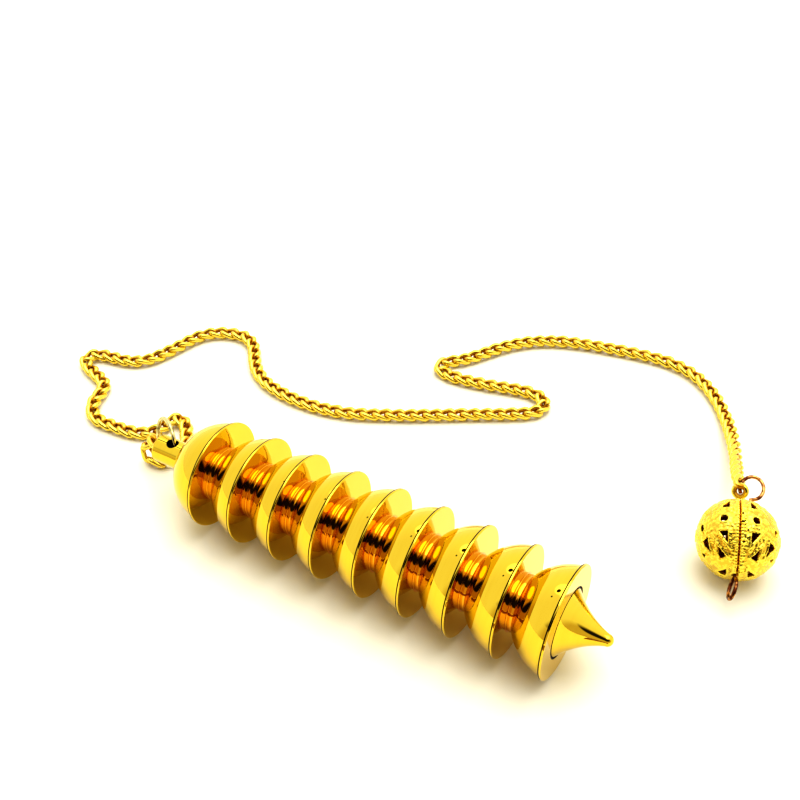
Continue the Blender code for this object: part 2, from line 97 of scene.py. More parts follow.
# The painted shade in the foot groove: from the middle of its depth and from the tip's foot, as shares of the
# groove
GROOVE_SHADE_DEPTH = 0.55
GROOVE_SHADE_END = 0.6
GROOVE_SHADE_WIDTH = 1.1
# The painted deeper orange of light bounced between the discs onto the necks, in the same way
NECK_BOUNCE_REACH = 0.00010
NECK_BOUNCE_FADE = 0.00020

# Jump ring
RING_WIRE = 0.00060
RING_RADIUS = 0.0034
RING_SLIT = 0.00015
RING_HEADING = radians(150.0)
RING_DROOP = radians(6.0)
RING_LEAN = radians(12.0)
RING_HOLD_ANGLE = radians(40.0)
RING_STATIONS = 96
WIRE_ROUNDNESS = 6

# Curb chain
LINK_PITCH = 0.00195
LEAST_PITCH_SHARE = 0.98
LINK_WIRE = 0.00076
LINK_WIDTH = 0.00218
LINK_TWIST = radians(48.0)
LINK_ROLL = radians(7.0)
LYING_SLOPE = 0.05
LYING_HEIGHT = 0.0012
RISING_LINK_ROLL = radians(-50.0)
RISING_ROLL_OVER = 0.002
LINK_STATIONS = 28
LINK_SIDES = 12
CHAIN_LIFT = 0.00003
LINK_HEIGHT_SHARE = 0.9
LIT_OUTSIDE_FROM = 0.00022
LIT_OUTSIDE_OVER = 0.00075
END_LINK_RADIUS = 0.00080

# Pierced ball and its pin
BALL_RADIUS = 0.00535
BALL_WALL = 0.00050
SEAM_RIDGE_RISE = 0.00015
BALL_PLACE = (0.03886, 0.02539)
SHELL_HEADING = radians(17.5)
SHELL_LIFT = radians(6.1)
PIN_HEADING = radians(100.0)
PIN_RISE = radians(12.0)
PIN_ASIDE = 0.00060
PIN_WIRE = 0.00050
EYE_RADIUS = 0.0012
LOWER_EYE_CLEARANCE = 0.00055
LOWER_EYE_START = radians(-60.0)
LOWER_EYE_END = radians(240.0)
LOWER_EYE_TWIST = radians(20.0)
LOWER_EYE_STRETCH = 1.25
LOWER_EYE_SQUEEZE = 0.80
UPPER_EYE_REACH = 0.00866
UPPER_EYE_STRETCH = 1.56
UPPER_EYE_SPREAD = 1.18
UPPER_EYE_OPENING = 0.25
SHANK_END_BEFORE_EYE = 1.04
UPPER_EYE_START = radians(-98.0)
UPPER_EYE_END = radians(-400.0)
LINK_ON_EYE_TURN = radians(-390.0)
EYE_LINK_RISE = Vector((-0.32, 0.57, 0.76)).normalized()
EYE_STATIONS = 40

# Openings of each half shell, three times round it, in degrees from its crown and degrees round it
REPEATS_ROUND_SHELL = 3
FIRST_REPEAT = 102.0
CORNERED_OPENINGS = [
    [(62.0, 21.0), (74.2, 20.0), (74.4, 38.0)],
    [(64.0, -24.0), (75.5, -21.5), (75.5, -40.0)],
    [(60.2, 44.0), (73.7, 57.5), (65.0, 64.6)],
    [(32.7, 46.0), (43.7, 32.0), (51.2, 59.3)],
    [(33.0, -46.0), (39.0, -35.0), (42.0, -47.0)],
]
# Rounded ones: middle, sides, and half widths in degrees away from the crown and round it
CROWN_OPENING = (0.0, 0.0, 10, 6.0, 6.0)
ROUNDED_OPENINGS = [
    (67.7, 0.0, 8, 5.7, 5.7),
    (31.0, 8.0, 8, 3.9, 5.7),
]
# Diamond gaps beside the seam, on the first half shell alone
SEAM_GAPS = [(86.6, 96.0, 4, 2.4, 2.0), (86.6, 108.0, 4, 3.2, 1.7), (84.6, 136.0, 4, 2.8, 1.9)]
OPENING_ROUND = 0.00005
PIN_HOLE_CLEARANCE = 0.00012
BALL_FINENESS = 7
BALL_SHARP_ANGLE = radians(55.0)
EDGE_SNAP = 0.00005
SNAP_PROBE = 0.002
SNAP_GUIDE = (0.31, 0.52, 0.79)
LEAST_SLOPE = 0.2
# Relief of the stamped shell, and the height over which it turns from hollow to crest
RELIEF_RANGE = 0.00022
BORDER_RISE = 0.00010
BORDER_AT = 0.00017
BORDER_SPREAD = 0.00011
GRAIN_PITCH = 0.00046
GRAIN_RISE = 0.00010
GRAIN_REACH = 0.62
GRAIN_LOST_ON_BORDER = 0.7
GRAIN_LOST_ON_LIP = 0.8
SEAM_GROOVE_DEPTH = 0.00030
SEAM_GROOVE_SPREAD = 0.00008
SEAM_LIP_RISE = 0.00008
SEAM_LIP_AT = 0.00030
SEAM_LIP_SPREAD = 0.00018
SEAM_RIB_RISE = 0.00006
SEAM_RIB_REACH = 0.00105
SEAM_RIBS = 78
BOSS_PLACE = (86.0, 179.0)
BOSS_RADIUS = 0.00072
BOSS_RISE = 0.00014
BOSS_RIM_SPREAD = 0.00015
BOSS_HOLLOW_SPREAD = 0.00045

# Camera, from the vanishing of the equal discs along the axis
CAMERA_AZIMUTH = radians(30.05)
CAMERA_ELEVATION = radians(40.30)
CAMERA_PLACE = Vector((0.05268, -0.08693, 0.11787))
CAMERA_LENS = 52.16
CAMERA_SENSOR = 36.0

# Room: brightness of its walls, then what is laid over them: direction in degrees round from the point's side
# and up, cosines over which it fades in, heights over which its foot and its top fade, brightness and tint.
# In turn: the back, the ceiling light, the front and its dark middle, a small light and two dark things
SIDE_WALL = 0.86
ROOM = [
    (90.0, 0.0, (-0.2, 0.6), (-2.0, -1.0), (3.0, 2.0), 1.00, "#FFFFFF"),
    (95.0, 78.0, (0.87, 0.91), (-2.0, -1.0), (3.0, 2.0), 3.2, "#FFFFFF"),
    (-66.0, 0.0, (0.35, 0.60), (-2.0, -1.0), (0.92, 0.87), 0.60, "#FFEDC8"),
    (-66.0, 0.0, (0.35, 0.60), (0.36, 0.44), (0.92, 0.87), 0.02, "#FFFFFF"),
    (145.0, 54.0, (0.9700, 0.9900), (-2.0, -1.0), (3.0, 2.0), 1.8, "#FFFFFF"),
    (155.0, 52.0, (0.9972, 0.9986), (-2.0, -1.0), (3.0, 2.0), 0.02, "#FFFFFF"),
    (176.0, 47.0, (0.9994, 0.9998), (-2.0, -1.0), (3.0, 2.0), 0.02, "#FFFFFF"),
]
CARD_RADIUS = 0.052
CARD_HEIGHT = 0.008
CARD_START = -85.0
CARD_END = -24.0
CARD_STEPS = 24
CARD_COLOR = "#8B603F"

TABLE_SIZE = 4.0
TABLE_DROP = 0.00002

# The chain's route over the table, from the jump ring to the ball, given as in the part's source
CHAIN_ROUTE = [
    (-0.0412, 0.0035, 0.0040), (-0.0423, 0.0031, 0.0030), (-0.0424, 0.0027, 0.0018),
    (-0.0414, 0.0024, 0.0011), (-0.0401, 0.0026, 0.00098), (-0.0390, 0.0034, 0.00098),
    (-0.0384, 0.0048, 0.00098), (-0.0384, 0.0064, 0.00098), (-0.0391, 0.0081, 0.00098),
    (-0.0404, 0.0097, 0.00098), (-0.0420, 0.0114, 0.00098), (-0.0429, 0.0119, 0.00098),
    (-0.0438, 0.0116, 0.00098), (-0.0443, 0.0107, 0.00098), (-0.0443, 0.0092, 0.00098),
    (-0.0446, 0.0079, 0.00098), (-0.0454, 0.0068, 0.00098), (-0.0466, 0.0060, 0.00098),
    (-0.0484, 0.0056, 0.00098), (-0.0510, 0.0054, 0.00098), (-0.0534, 0.0052, 0.00098),
    (-0.0551, 0.0056, 0.00098), (-0.0565, 0.0068, 0.00098), (-0.0575, 0.0083, 0.00098),
    (-0.0579, 0.0099, 0.00098), (-0.0581, 0.0113, 0.00098), (-0.0590, 0.0125, 0.00098),
    (-0.0606, 0.0132, 0.00098), (-0.0627, 0.0139, 0.00098), (-0.0647, 0.0147, 0.00098),
    (-0.0659, 0.0160, 0.00098), (-0.0655, 0.0174, 0.00098), (-0.0638, 0.0181, 0.00098),
    (-0.0613, 0.0185, 0.00098), (-0.0589, 0.0191, 0.00098), (-0.0571, 0.0205, 0.00098),
    (-0.0558, 0.0230, 0.00098), (-0.0548, 0.0263, 0.00098), (-0.0537, 0.0297, 0.00098),
    (-0.0518, 0.0321, 0.00098), (-0.0490, 0.0334, 0.00098), (-0.0464, 0.0336, 0.00098),
    (-0.0442, 0.0323, 0.00098), (-0.0423, 0.0299, 0.00098), (-0.0402, 0.0275, 0.00098),
    (-0.0373, 0.0257, 0.00098), (-0.0336, 0.0247, 0.00098), (-0.0295, 0.0244, 0.00098),
    (-0.0254, 0.0248, 0.00098), (-0.0215, 0.0259, 0.00098), (-0.0173, 0.0279, 0.00098),
    (-0.0126, 0.0305, 0.00098), (-0.0080, 0.0333, 0.00098), (-0.0034, 0.0361, 0.00098),
    (0.0006, 0.0385, 0.00098), (0.0030, 0.0403, 0.00098), (0.0038, 0.0420, 0.00098),
    (0.0031, 0.0437, 0.00098), (0.0012, 0.0443, 0.00098), (-0.0015, 0.0440, 0.00098),
    (-0.0051, 0.0430, 0.00098), (-0.0090, 0.0421, 0.00098), (-0.0123, 0.0417, 0.00098),
    (-0.0145, 0.0421, 0.00098), (-0.0154, 0.0433, 0.00098), (-0.0146, 0.0446, 0.00098),
    (-0.0128, 0.0461, 0.00098), (-0.0110, 0.0486, 0.00098), (-0.0091, 0.0517, 0.00098),
    (-0.0070, 0.0545, 0.00098), (-0.0039, 0.0572, 0.00098), (0.0000, 0.0592, 0.00098),
    (0.0044, 0.0606, 0.00098), (0.0089, 0.0616, 0.00098), (0.0134, 0.0624, 0.00098),
    (0.0175, 0.0625, 0.00098), (0.0212, 0.0615, 0.00098), (0.0244, 0.0593, 0.00098),
    (0.0271, 0.0564, 0.00098), (0.0294, 0.0529, 0.00113), (0.0314, 0.0487, 0.00188),
    (0.0331, 0.0440, 0.00315), (0.0345, 0.0392, 0.00495), (0.0354, 0.0357, 0.00660),
]
ROUTE_FINENESS = 12

# Places that follow from the sizes
LAST_FACE = DISC_PITCH * (DISC_COUNT - 1) / 2
FIRST_FACE = -LAST_FACE
KNOB_END = FIRST_FACE - KNOB_REACH
MOVE = Vector((body_low.x - KNOB_END, (body_low.y + body_high.y) / 2, 0))
AXIS_HEIGHT = DISC_RADIUS
DOME_EDGE_RADIUS = DISC_RADIUS - DOME_EDGE_STEP
DOME_RADIUS = hypot(DOME_EDGE_RADIUS, DOME_CENTRE_AHEAD)
HOLE_PLACE = Vector((KNOB_END + KNOB_HOLE_FROM_END, 0, AXIS_HEIGHT))
BALL_CENTRE = Vector((*BALL_PLACE, BALL_RADIUS + SEAM_RIDGE_RISE))
LOWER_EYE_REACH = BALL_RADIUS + LOWER_EYE_CLEARANCE + EYE_RADIUS

ring_level = Vector((cos(RING_HEADING), sin(RING_HEADING), 0))
ring_outward = ring_level * cos(RING_DROOP) - Vector((0, 0, sin(RING_DROOP)))
ring_upright = Vector((0, 0, cos(RING_DROOP))) + ring_level * sin(RING_DROOP)
ring_upright = ring_upright * cos(RING_LEAN) + ring_outward.cross(ring_upright) * sin(RING_LEAN)
ring_bow_in_hole = RING_RADIUS - sqrt(RING_RADIUS**2 - KNOB_RADIUS**2)
ring_centre = HOLE_PLACE + ring_outward * (RING_RADIUS - ring_bow_in_hole / 2)
ring_hold = ring_centre + RING_RADIUS * (
    cos(RING_HOLD_ANGLE) * ring_outward - sin(RING_HOLD_ANGLE) * ring_upright
)

pin_level = Vector((cos(PIN_HEADING), sin(PIN_HEADING), 0))
pin_axis = pin_level * cos(PIN_RISE) + Vector((0, 0, sin(PIN_RISE)))
upper_eye_side = Vector((sin(PIN_HEADING), -cos(PIN_HEADING), 0))
upright_side = upper_eye_side.cross(pin_axis)
lower_eye_side = upright_side * cos(LOWER_EYE_TWIST) + upper_eye_side * sin(LOWER_EYE_TWIST)
pin_middle = BALL_CENTRE + upper_eye_side * PIN_ASIDE
ring_hold_along = sin(RING_HOLD_ANGLE) * ring_outward + cos(RING_HOLD_ANGLE) * ring_upright
shell_turn = Matrix.Rotation(SHELL_HEADING, 4, "Z") @ Matrix.Rotation(-SHELL_LIFT, 4, "Y")


# Small helpers

def linear(hex_color):
    """An sRGB hex colour as the linear RGBA that Blender's sockets take."""
    channels = [int(hex_color[i:i + 2], 16) / 255 for i in (1, 3, 5)]
    return (*[c / 12.92 if c <= 0.04045 else ((c + 0.055) / 1.055) ** 2.4 for c in channels], 1.0)


def add_node(tree, kind, inputs=None, **settings):
    """One node with its settings, and each input given a value or a link from another node's socket."""
    node = tree.nodes.new(kind)
    for name, value in settings.items():
        setattr(node, name, value)
    for name, value in (inputs or {}).items():
        if isinstance(value, bpy.types.NodeSocket):
            tree.links.new(value, node.inputs[name])
        else:
            node.inputs[name].default_value = value
    return node


def math_node(tree, operation, *values):
    """The result of one operation on sockets or numbers."""
    return add_node(tree, "ShaderNodeMath", dict(enumerate(values)), operation=operation).outputs[0]


def vector_node(tree, operation, *values):
    """The vector, or the length or product, that one operation on vectors gives."""
    result = "Value" if operation in ("LENGTH", "DOT_PRODUCT") else "Vector"
    return add_node(
        tree, "ShaderNodeVectorMath", dict(enumerate(values)), operation=operation
    ).outputs[result]


def ramp(tree, value, start, end, low=0.0, high=1.0):
    """A socket's value brought from between a start and an end to between a low and a high."""
    ends = {"Value": value, "From Min": start, "From Max": end, "To Min": low, "To Max": high}
    return add_node(tree, "ShaderNodeMapRange", ends).outputs[0]


def blend(tree, share, first, second):
    """The first colour with a share of the second laid over it."""
    return add_node(tree, "ShaderNodeMix", {0: share, 6: first, 7: second}, data_type="RGBA").outputs[2]


def mottle(tree, place, scale, detail):
    """Noise in patches 1 / scale of a metre across."""
    patches = {"Vector": place, "Scale": scale, "Detail": detail}
    return add_node(tree, "ShaderNodeTexNoise", patches).outputs[0]


def raise_surface(tree, surface, height, distance):
    """Bumps on a surface, up to a distance high where the height is 1."""
    bumps = {"Strength": 1.0, "Distance": distance, "Height": height}
    tree.links.new(add_node(tree, "ShaderNodeBump", bumps).outputs[0], surface.inputs["Normal"])


def new_metal(name):
    """A metal with its node tree and its Principled surface, to which its finish is linked."""
    material = bpy.data.materials.new(name)
    material.use_nodes = True
    surface = material.node_tree.nodes["Principled BSDF"]
    surface.inputs["Metallic"].default_value = 1.0
    return material, material.node_tree, surface


def finished_piece(name, data, material, slot, *nodes):
    """A piece of the part: in place, riding on the one body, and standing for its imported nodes."""
    data.materials.clear()
    data.materials.append(material)
    piece = bpy.data.objects.new(name, data)
    bpy.context.scene.collection.objects.link(piece)
    piece.location = MOVE
    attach(piece, "root")
    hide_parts(*nodes)
    return piece


# Materials

def recess_shade_share(tree, place, along, radius):
    """Where painted black shade lies: behind each rim, in the cross hole and in the foot groove."""
    from_back = math_node(tree, "SUBTRACT", along, FIRST_FACE - RIM_WIDTH)
    from_rim = math_node(tree, "WRAP", from_back, -DISC_PITCH / 2, DISC_PITCH / 2)
    beside = math_node(tree, "ABSOLUTE", from_rim)
    line = ramp(tree, beside, RIM_SHADE_REACH + RIM_SHADE_FADE, RIM_SHADE_REACH)
    outside = ramp(tree, radius, DOME_EDGE_RADIUS, DOME_EDGE_RADIUS + RIM_SHADE_FADE)
    behind_rim = math_node(tree, "MULTIPLY", line, outside)
    to_hole = vector_node(tree, "SUBTRACT", place, tuple(HOLE_PLACE))
    in_plan = vector_node(tree, "MULTIPLY", to_hole, (1, 1, 0))
    from_hole = vector_node(tree, "LENGTH", in_plan)
    hole_shade_edge = KNOB_HOLE_RADIUS + HOLE_SHADE_REACH
    in_hole = ramp(tree, from_hole, hole_shade_edge + HOLE_SHADE_FADE, hole_shade_edge)
    from_groove = math_node(tree, "SUBTRACT", along, LAST_FACE - FOOT_GROOVE_DEPTH / 2)
    off_groove = math_node(tree, "ABSOLUTE", from_groove)
    groove_shade_end = FOOT_GROOVE_DEPTH * GROOVE_SHADE_END
    at_groove = ramp(tree, off_groove, groove_shade_end, FOOT_GROOVE_DEPTH * GROOVE_SHADE_DEPTH)
    groove_shade_edge = TIP_FOOT_RADIUS + FOOT_GROOVE_WIDTH * GROOVE_SHADE_WIDTH
    near_foot = math_node(tree, "LESS_THAN", radius, groove_shade_edge)
    in_groove = math_node(tree, "MULTIPLY", at_groove, near_foot)
    share = math_node(tree, "MAXIMUM", behind_rim, in_hole)
    return math_node(tree, "MAXIMUM", share, in_groove)


def neck_bounce_share(tree, along, radius):
    """Where the painted orange of light bounced between the discs lies: on the necks, between the first face
    and the last.
    """
    tone = NECK_RADIUS + NECK_BOUNCE_REACH
    close = ramp(tree, radius, tone + NECK_BOUNCE_FADE, tone)
    past_first = math_node(tree, "GREATER_THAN", along, FIRST_FACE)
    before_last = math_node(tree, "LESS_THAN", along, LAST_FACE)
    between = math_node(tree, "MULTIPLY", past_first, before_last)
    return math_node(tree, "MULTIPLY", close, between)


def polished_gold_plate():
    """Gold plate on lathe-turned, buffed brass.

    It is a mirror. Buffing leaves the flats a little wavy and wipes faint streaks round the axis.
    The necks get a painted orange of light bounced between the discs, and painted black shade lies in corners.
    """
    material, tree, surface = new_metal("polished_gold_plate")
    place = add_node(tree, "ShaderNodeTexCoord").outputs["Object"]
    parts = add_node(tree, "ShaderNodeSeparateXYZ", {0: place}).outputs
    level = math_node(tree, "SUBTRACT", parts["Z"], AXIS_HEIGHT)
    flat = add_node(tree, "ShaderNodeCombineXYZ", {"X": parts["Y"], "Y": level}).outputs[0]
    radius = vector_node(tree, "LENGTH", flat)
    recess_shade = recess_shade_share(tree, place, parts["X"], radius)
    neck_bounce = neck_bounce_share(tree, parts["X"], radius)
    # Streaks of wiping: 0.5 mm wide along the axis, drawn out ten times as long round it
    stretched = vector_node(tree, "MULTIPLY", place, (2000.0, 200.0, 200.0))
    streaks = mottle(tree, stretched, 1.0, 3.0)
    wiped = ramp(tree, streaks, 0.45, 0.75, low=0.015, high=0.075)
    rough = add_node(tree, "ShaderNodeMix", {"Factor": recess_shade, "A": wiped, "B": 0.45}).outputs[0]
    tree.links.new(rough, surface.inputs["Roughness"])
    color = blend(tree, streaks, linear("#E9CB46"), linear("#E3C03C"))
    # Painted light over the plate: the orange of light bounced between the discs on the necks, and black
    # painted shade in the corners
    for share, tone in ((neck_bounce, "#E2A32C"), (recess_shade, "#160904")):
        color = blend(tree, share, color, linear(tone))
    tree.links.new(color, surface.inputs["Base Color"])
    # Buffing waves about 2.5 mm long and a few thousandths of a millimetre high
    waves = mottle(tree, place, 400.0, 1.0)
    raise_surface(tree, surface, waves, 0.000004)
    return material


def chain_gold_plate():
    """Gold plate on drawn brass wire, tumbled: lighter on the links' outer sides, with painted shade making
    their inner sides deep and dull.
    """
    material, tree, surface = new_metal("chain_gold_plate")
    place = add_node(tree, "ShaderNodeTexCoord").outputs["Object"]
    lit_outside = add_node(tree, "ShaderNodeAttribute", attribute_name="lit_outside").outputs["Fac"]
    # Tumbling dents 0.25 mm across
    dents = mottle(tree, place, 4000.0, 2.0)
    # Painted shade: the links' inner sides, where they meet, darker than their outer sides
    unshaded = ramp(tree, lit_outside, 0.25, 0.75)
    color = blend(tree, unshaded, linear("#C08A26"), linear("#EED45A"))
    tree.links.new(color, surface.inputs["Base Color"])
    dull = ramp(tree, unshaded, 0.0, 1.0, low=0.30, high=0.15)
    rough = math_node(tree, "MULTIPLY_ADD", dents, 0.10, dull)
    tree.links.new(rough, surface.inputs["Roughness"])
    raise_surface(tree, surface, dents, 0.000012)
    return material


def stamped_gold_plate():
    """Gold plate on stamped sheet brass.

    The die grains it all over. Crests are bright; painted shade makes hollows orange and the ball's inside dark
    brown.
    """
    material, tree, surface = new_metal("stamped_gold_plate")
    place = add_node(tree, "ShaderNodeTexCoord").outputs["Object"]
    relief = add_node(tree, "ShaderNodeAttribute", attribute_name="relief").outputs["Fac"]
    # Die grit 0.15 mm across, and patches of deeper plate 2 mm across
    grit = mottle(tree, place, 6500.0, 2.0)
    patches = mottle(tree, place, 500.0, 2.0)
    # Painted shade: hollows of the relief orange, crests bright
    crest = ramp(tree, relief, 0.05, 0.50)
    gold = blend(tree, patches, linear("#F8E860"), linear("#F0CE48"))
    outside = blend(tree, crest, linear("#CE962A"), gold)
    # Painted shade: the inner wall of the ball dark brown
    inner_wall_shade = ramp(tree, relief, -0.05, -0.4)
    color = blend(tree, inner_wall_shade, outside, linear("#8A4018"))
    tree.links.new(color, surface.inputs["Base Color"])
    rough = add_node(tree, "ShaderNodeMix", {"Factor": inner_wall_shade, "A": 0.22, "B": 0.55}).outputs[0]
    tree.links.new(rough, surface.inputs["Roughness"])
    raise_surface(tree, surface, grit, 0.00003)
    return material


def bare_brass_wire():
    """Drawn wire of a paler, greener brass than the plate, tarnished olive in patches."""
    material, tree, surface = new_metal("bare_brass_wire")
    place = add_node(tree, "ShaderNodeTexCoord").outputs["Object"]
    # Patches of tarnish 1 mm across
    tarnish = mottle(tree, place, 1000.0, 3.0)
    stained = ramp(tree, tarnish, 0.42, 0.68)
    color = blend(tree, stained, linear("#DDCF92"), linear("#8A7C46"))
    tree.links.new(color, surface.inputs["Base Color"])
    rough = ramp(tree, stained, 0.0, 1.0, low=0.12, high=0.28)
    tree.links.new(rough, surface.inputs["Roughness"])
    return material


def copper_wire():
    """Drawn copper wire gone brown in patches, with bright metal left between them."""
    material, tree, surface = new_metal("copper_wire")
    place = add_node(tree, "ShaderNodeTexCoord").outputs["Object"]
    # Brown film in patches 0.8 mm across
    film = mottle(tree, place, 1250.0, 3.0)
    brown = ramp(tree, film, 0.36, 0.54)
    color = blend(tree, brown, linear("#D09A5C"), linear("#5A2C14"))
    tree.links.new(color, surface.inputs["Base Color"])
    rough = ramp(tree, brown, 0.0, 1.0, low=0.10, high=0.24)
    tree.links.new(rough, surface.inputs["Roughness"])
    return material


# Turned body

def arc(centre, radius, start, end, steps):
    """Points (x, r) on a circle from one angle to another, both ends included."""
    turns = [start + (end - start) * i / steps for i in range(steps + 1)]
    return [(centre[0] + radius * cos(turn), centre[1] + radius * sin(turn)) for turn in turns]


def hollow_arc(start, end, radius, steps):
    """Points of the hollow circular arc of a given radius between two profile points."""
    (x0, r0), (x1, r1) = start, end
    half = hypot(x1 - x0, r1 - r0) / 2
    side = sqrt(max(radius**2 - half**2, 0.0))
    along = ((x1 - x0) / (2 * half), (r1 - r0) / (2 * half))
    centre = Vector(((x0 + x1) / 2 - along[1] * side, (r0 + r1) / 2 + along[0] * side))
    first = Vector(start) - centre
    last = Vector(end) - centre
    sweep = last.angle_signed(first)
    return [tuple(centre + Matrix.Rotation(sweep * i / steps, 2) @ first) for i in range(steps + 1)]


def dome_turn(radius):
    """The angle on the dome's circle at which it has a given distance from the axis."""
    return atan2(radius, -sqrt(DOME_RADIUS**2 - radius**2))


def dome_profile(face, inner_radius, steps):
    """The domed side of one disc, from an inner radius out to the rim's back edge."""
    centre = (face - RIM_WIDTH + DOME_CENTRE_AHEAD, 0)
    return arc(centre, DOME_RADIUS, dome_turn(inner_radius), dome_turn(DOME_EDGE_RADIUS), steps)


def rim_profile(face):
    """The shoulder behind the rim, its band between two small rounds, and the outer edge of the flat face."""
    back = face - RIM_WIDTH
    outer = DISC_RADIUS - RIM_BEVEL
    return (
        [(back, DOME_EDGE_RADIUS + FACE_HOLD), (back, outer - FACE_HOLD)]
        + arc((back + RIM_BEVEL, outer), RIM_BEVEL, pi, pi / 2, BEVEL_STEPS)
        + arc((face - RIM_BEVEL, outer), RIM_BEVEL, pi / 2, 0, BEVEL_STEPS)
        + [(face, outer - FACE_HOLD)]
    )


def neck_profile(face, next_dome_start):
    """From the flat face in to the neck, and along it to where the next dome starts."""
    fillet = arc((face + NECK_FILLET, NECK_RADIUS + NECK_FILLET), NECK_FILLET, pi, 3 * pi / 2, FILLET_STEPS)
    start, end = face + NECK_FILLET, next_dome_start - FACE_HOLD
    steps = NECK_BEAD_STEPS * NECK_BEADS
    beads = []
    for i in range(1, steps + 1):
        rise = NECK_BEAD_RISE * abs(sin(pi * NECK_BEADS * i / steps))
        beads.append((start + (end - start) * i / steps, NECK_RADIUS + rise))
    return [(face, NECK_RADIUS + NECK_FILLET + FACE_HOLD)] + fillet + beads


def knob_profile():
    """The knob from the middle of its end face to the fillet where it meets the first dome."""
    end_round = arc((KNOB_END + KNOB_EDGE, KNOB_RADIUS - KNOB_EDGE), KNOB_EDGE, pi, pi / 2, KNOB_STEPS)
    crown = dome_profile(FIRST_FACE, KNOB_RADIUS + KNOB_FILLET, DOME_STEPS)[0]
    fillet = hollow_arc((crown[0] - KNOB_FILLET, KNOB_RADIUS), crown, KNOB_FILLET_RADIUS, KNOB_STEPS)[:-1]
    hold_end = (KNOB_END, KNOB_RADIUS - KNOB_EDGE - FACE_HOLD)
    hold_round = (KNOB_END + KNOB_EDGE + FACE_HOLD, KNOB_RADIUS)
    hold_fillet = (fillet[0][0] - FACE_HOLD, KNOB_RADIUS)
    return [(KNOB_END, 0.0), hold_end] + end_round + [hold_round, hold_fillet] + fillet


def tip_profile():
    """The hollow-flanked cone on the last face, with the fine groove round its foot, out to its blunt end."""
    groove_outer = TIP_FOOT_RADIUS + FOOT_GROOVE_WIDTH
    groove_floor = LAST_FACE - FOOT_GROOVE_DEPTH
    groove = [
        (LAST_FACE, groove_outer + FACE_HOLD), (LAST_FACE, groove_outer),
        (groove_floor, groove_outer), (groove_floor, TIP_FOOT_RADIUS),
    ]
    end_start = LAST_FACE + TIP_LENGTH - TIP_END_RADIUS
    flank = hollow_arc(
        (LAST_FACE, TIP_FOOT_RADIUS), (end_start, TIP_END_RADIUS), TIP_FLANK_RADIUS, FLANK_STEPS
    )
    end_round = arc((end_start, 0), TIP_END_RADIUS, pi / 2, 0, TIP_END_STEPS)[1:-1]
    return groove + flank + end_round + [(LAST_FACE + TIP_LENGTH, 0.0)]


def body_profile():
    """Half the body's section: knob, nine discs with the necks between them, and the point."""
    profile = knob_profile()
    for i in range(DISC_COUNT):
        face = FIRST_FACE + i * DISC_PITCH
        inner_radius = NECK_RADIUS if i else KNOB_RADIUS + KNOB_FILLET
        dome = dome_profile(face, inner_radius, DOME_STEPS)
        if i:
            profile += neck_profile(face - DISC_PITCH, dome[0][0])
        profile += dome + rim_profile(face)
    return profile + tip_profile()


def turned_body():
    """The body's profile spun round its axis."""
    bm = bmesh.new()
    line = [bm.verts.new((x, 0, AXIS_HEIGHT + r)) for x, r in body_profile()]
    edges = [bm.edges.new(pair) for pair in zip(line, line[1:])]
    bmesh.ops.spin(
        bm, geom=line + edges, cent=(0, 0, AXIS_HEIGHT), axis=(1, 0, 0), angle=2 * pi,
        steps=TURNING_SIDES, use_merge=True,
    )
    bmesh.ops.remove_doubles(bm, verts=bm.verts, dist=MERGE_DISTANCE)
    bmesh.ops.recalc_face_normals(bm, faces=bm.faces)
    mesh = bpy.data.meshes.new("turned_body")
    bm.to_mesh(mesh)
    bm.free()
    return mesh


def drill_through_knob(mesh):
    """The body's mesh with the knob's cross hole cut through it."""
    body = bpy.data.objects.new("uncut_body", mesh)
    bpy.context.scene.collection.objects.link(body)
    bpy.ops.mesh.primitive_cylinder_add(
        vertices=DRILL_SIDES, radius=KNOB_HOLE_RADIUS, depth=KNOB_RADIUS * 3, location=HOLE_PLACE,
    )
    drill = bpy.context.object
    cut = body.modifiers.new("Cross hole", "BOOLEAN")
    cut.operation = "DIFFERENCE"
    cut.solver = "EXACT"
    cut.object = drill
    depsgraph = bpy.context.evaluated_depsgraph_get()
    drilled = bpy.data.meshes.new_from_object(body.evaluated_get(depsgraph))
    bpy.data.objects.remove(body)
    bpy.data.objects.remove(drill)
    drilled.shade_smooth()
    drilled.set_sharp_from_angle(angle=SHARP_ANGLE)
    return drilled


# Wires

def wire_curve(name, points, diameter):
    """A round wire through a list of points, with filled ends."""
    curve = bpy.data.curves.new(name, "CURVE")
    curve.dimensions = "3D"
    curve.bevel_depth = diameter / 2
    curve.bevel_resolution = WIRE_ROUNDNESS
    curve.use_fill_caps = True
    spline = curve.splines.new("POLY")
    spline.points.add(len(points) - 1)
    for station, point in zip(spline.points, points):
        station.co = (*point, 1.0)
    return curve


def ring_points():
    """Stations round the jump ring, with its slit at the far side."""
    slit_turn = RING_SLIT / RING_RADIUS
    points = []
    for i in range(RING_STATIONS + 1):
        turn = slit_turn / 2 + (2 * pi - slit_turn) * i / RING_STATIONS
        points.append(ring_centre + RING_RADIUS * (cos(turn) * ring_outward + sin(turn) * ring_upright))
    return points


def upper_eye_point(turn):
    """A point of the upper eye in place: a wide eye left open toward its free end."""
    along = EYE_RADIUS * UPPER_EYE_STRETCH * sin(turn)
    progress = (turn - UPPER_EYE_START) / (UPPER_EYE_END - UPPER_EYE_START)
    side = -EYE_RADIUS * UPPER_EYE_SPREAD * (cos(turn) + UPPER_EYE_OPENING * progress**3)
    return pin_middle + pin_axis * (UPPER_EYE_REACH + along) + upper_eye_side * side


pin_hold = upper_eye_point(LINK_ON_EYE_TURN)


